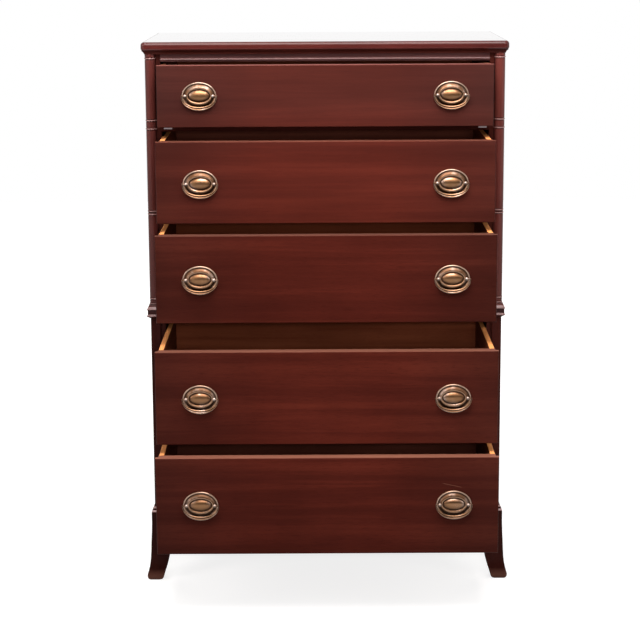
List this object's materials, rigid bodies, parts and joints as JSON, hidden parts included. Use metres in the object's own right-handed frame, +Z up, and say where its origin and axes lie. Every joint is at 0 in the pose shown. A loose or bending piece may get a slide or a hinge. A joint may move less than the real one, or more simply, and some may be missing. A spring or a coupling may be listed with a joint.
{
  "type": "tall chest of drawers",
  "caption": "Tall chest of drawers with overlay fronts standing open in steps, turned corner columns over square posts, splayed feet and oval bail pulls.",
  "frame": {"origin": "On the floor, at the centre of the whole part's outline seen from above, with the drawers standing open as in the picture.", "axes": "+Z points up, +X to the right of a person facing the drawers, and +Y from the drawer fronts to the back, so drawers open along -Y."},
  "size_m": [0.904, 0.795, 1.3405],
  "materials": {
    "mahogany": "dark red-brown stain under a worn clear lacquer",
    "drawer_wood": "pale orange-brown wood under thin varnish",
    "secondary_wood": "plain brown wood, unpolished",
    "antique_brass": "aged brass, dark in the hollows and bright on the crests",
    "nylon": "smooth off-white",
    "steel": "dull plated steel"
  },
  "bodies": {
    "carcass": {"top_panel": "mahogany", "sub_top": "mahogany", "front_posts": "mahogany", "rear_posts": "mahogany", "side_panels": "mahogany", "back_panel": "secondary_wood", "corner_columns": "mahogany", "waist_blocks": "mahogany", "lower_posts": "mahogany", "front_feet": "mahogany", "rear_feet": "mahogany", "frieze_rail": "mahogany", "frieze_bead": "mahogany", "divider_rails": "mahogany", "waist_rail": "mahogany", "base_rails": "mahogany", "drawer_runners": "secondary_wood", "drawer_guides": "secondary_wood", "drawer_glides": "nylon", "back_screws": "steel"},
    "drawer_1": {"drawer_1_front": "mahogany", "drawer_1_sides": "drawer_wood", "drawer_1_back": "drawer_wood", "drawer_1_bottom": "drawer_wood", "drawer_1_pull_plates": "antique_brass", "drawer_1_pull_bolts": "antique_brass"},
    "drawer_1_bail_left": {"drawer_1_left_bail": "antique_brass"},
    "drawer_1_bail_right": {"drawer_1_right_bail": "antique_brass"},
    "drawer_2": {"drawer_2_front": "mahogany", "drawer_2_sides": "drawer_wood", "drawer_2_back": "drawer_wood", "drawer_2_bottom": "drawer_wood", "drawer_2_pull_plates": "antique_brass", "drawer_2_pull_bolts": "antique_brass"},
    "drawer_2_bail_left": {"drawer_2_left_bail": "antique_brass"},
    "drawer_2_bail_right": {"drawer_2_right_bail": "antique_brass"},
    "drawer_3": {"drawer_3_front": "mahogany", "drawer_3_sides": "drawer_wood", "drawer_3_back": "drawer_wood", "drawer_3_bottom": "drawer_wood", "drawer_3_pull_plates": "antique_brass", "drawer_3_pull_bolts": "antique_brass"},
    "drawer_3_bail_left": {"drawer_3_left_bail": "antique_brass"},
    "drawer_3_bail_right": {"drawer_3_right_bail": "antique_brass"},
    "drawer_4": {"drawer_4_front": "mahogany", "drawer_4_sides": "drawer_wood", "drawer_4_back": "drawer_wood", "drawer_4_bottom": "drawer_wood", "drawer_4_pull_plates": "antique_brass", "drawer_4_pull_bolts": "antique_brass"},
    "drawer_4_bail_left": {"drawer_4_left_bail": "antique_brass"},
    "drawer_4_bail_right": {"drawer_4_right_bail": "antique_brass"},
    "drawer_5": {"drawer_5_front": "mahogany", "drawer_5_sides": "drawer_wood", "drawer_5_back": "drawer_wood", "drawer_5_bottom": "drawer_wood", "drawer_5_pull_plates": "antique_brass", "drawer_5_pull_bolts": "antique_brass"},
    "drawer_5_bail_left": {"drawer_5_left_bail": "antique_brass"},
    "drawer_5_bail_right": {"drawer_5_right_bail": "antique_brass"}
  },
  "joints": [
    {"name": "drawer_1_slide", "type": "slide", "parent": "carcass", "child": "drawer_1", "axis": [0, -1, 0], "range_m": [-0.057, 0.288]},
    {"name": "drawer_1_left_bail_hinge", "type": "hinge", "parent": "drawer_1", "child": "drawer_1_bail_left", "pos_m": [-0.2995, -0.142, 1.2165], "axis": [-1, 0, 0], "range_deg": [0, 165]},
    {"name": "drawer_1_right_bail_hinge", "type": "hinge", "parent": "drawer_1", "child": "drawer_1_bail_right", "pos_m": [0.2995, -0.142, 1.2165], "axis": [-1, 0, 0], "range_deg": [0, 165]},
    {"name": "drawer_2_slide", "type": "slide", "parent": "carcass", "child": "drawer_2", "axis": [0, -1, 0], "range_m": [-0.128, 0.217]},
    {"name": "drawer_2_left_bail_hinge", "type": "hinge", "parent": "drawer_2", "child": "drawer_2_bail_left", "pos_m": [-0.296, -0.213, 1.0155], "axis": [-1, 0, 0], "range_deg": [0, 165]},
    {"name": "drawer_2_right_bail_hinge", "type": "hinge", "parent": "drawer_2", "child": "drawer_2_bail_right", "pos_m": [0.296, -0.213, 1.0155], "axis": [-1, 0, 0], "range_deg": [0, 165]},
    {"name": "drawer_3_slide", "type": "slide", "parent": "carcass", "child": "drawer_3", "axis": [0, -1, 0], "range_m": [-0.194, 0.151]},
    {"name": "drawer_3_left_bail_hinge", "type": "hinge", "parent": "drawer_3", "child": "drawer_3_bail_left", "pos_m": [-0.296, -0.279, 0.798], "axis": [-1, 0, 0], "range_deg": [0, 165]},
    {"name": "drawer_3_right_bail_hinge", "type": "hinge", "parent": "drawer_3", "child": "drawer_3_bail_right", "pos_m": [0.296, -0.279, 0.798], "axis": [-1, 0, 0], "range_deg": [0, 165]},
    {"name": "drawer_4_slide", "type": "slide", "parent": "carcass", "child": "drawer_4", "axis": [0, -1, 0], "range_m": [-0.262, 0.083]},
    {"name": "drawer_4_left_bail_hinge", "type": "hinge", "parent": "drawer_4", "child": "drawer_4_bail_left", "pos_m": [-0.296, -0.347, 0.5275], "axis": [-1, 0, 0], "range_deg": [0, 165]},
    {"name": "drawer_4_right_bail_hinge", "type": "hinge", "parent": "drawer_4", "child": "drawer_4_bail_right", "pos_m": [0.296, -0.347, 0.5275], "axis": [-1, 0, 0], "range_deg": [0, 165]},
    {"name": "drawer_5_slide", "type": "slide", "parent": "carcass", "child": "drawer_5", "axis": [0, -1, 0], "range_m": [-0.308, 0.037]},
    {"name": "drawer_5_left_bail_hinge", "type": "hinge", "parent": "drawer_5", "child": "drawer_5_bail_left", "pos_m": [-0.296, -0.393, 0.283], "axis": [-1, 0, 0], "range_deg": [0, 165]},
    {"name": "drawer_5_right_bail_hinge", "type": "hinge", "parent": "drawer_5", "child": "drawer_5_bail_right", "pos_m": [0.296, -0.393, 0.283], "axis": [-1, 0, 0], "range_deg": [0, 165]}
  ]
}
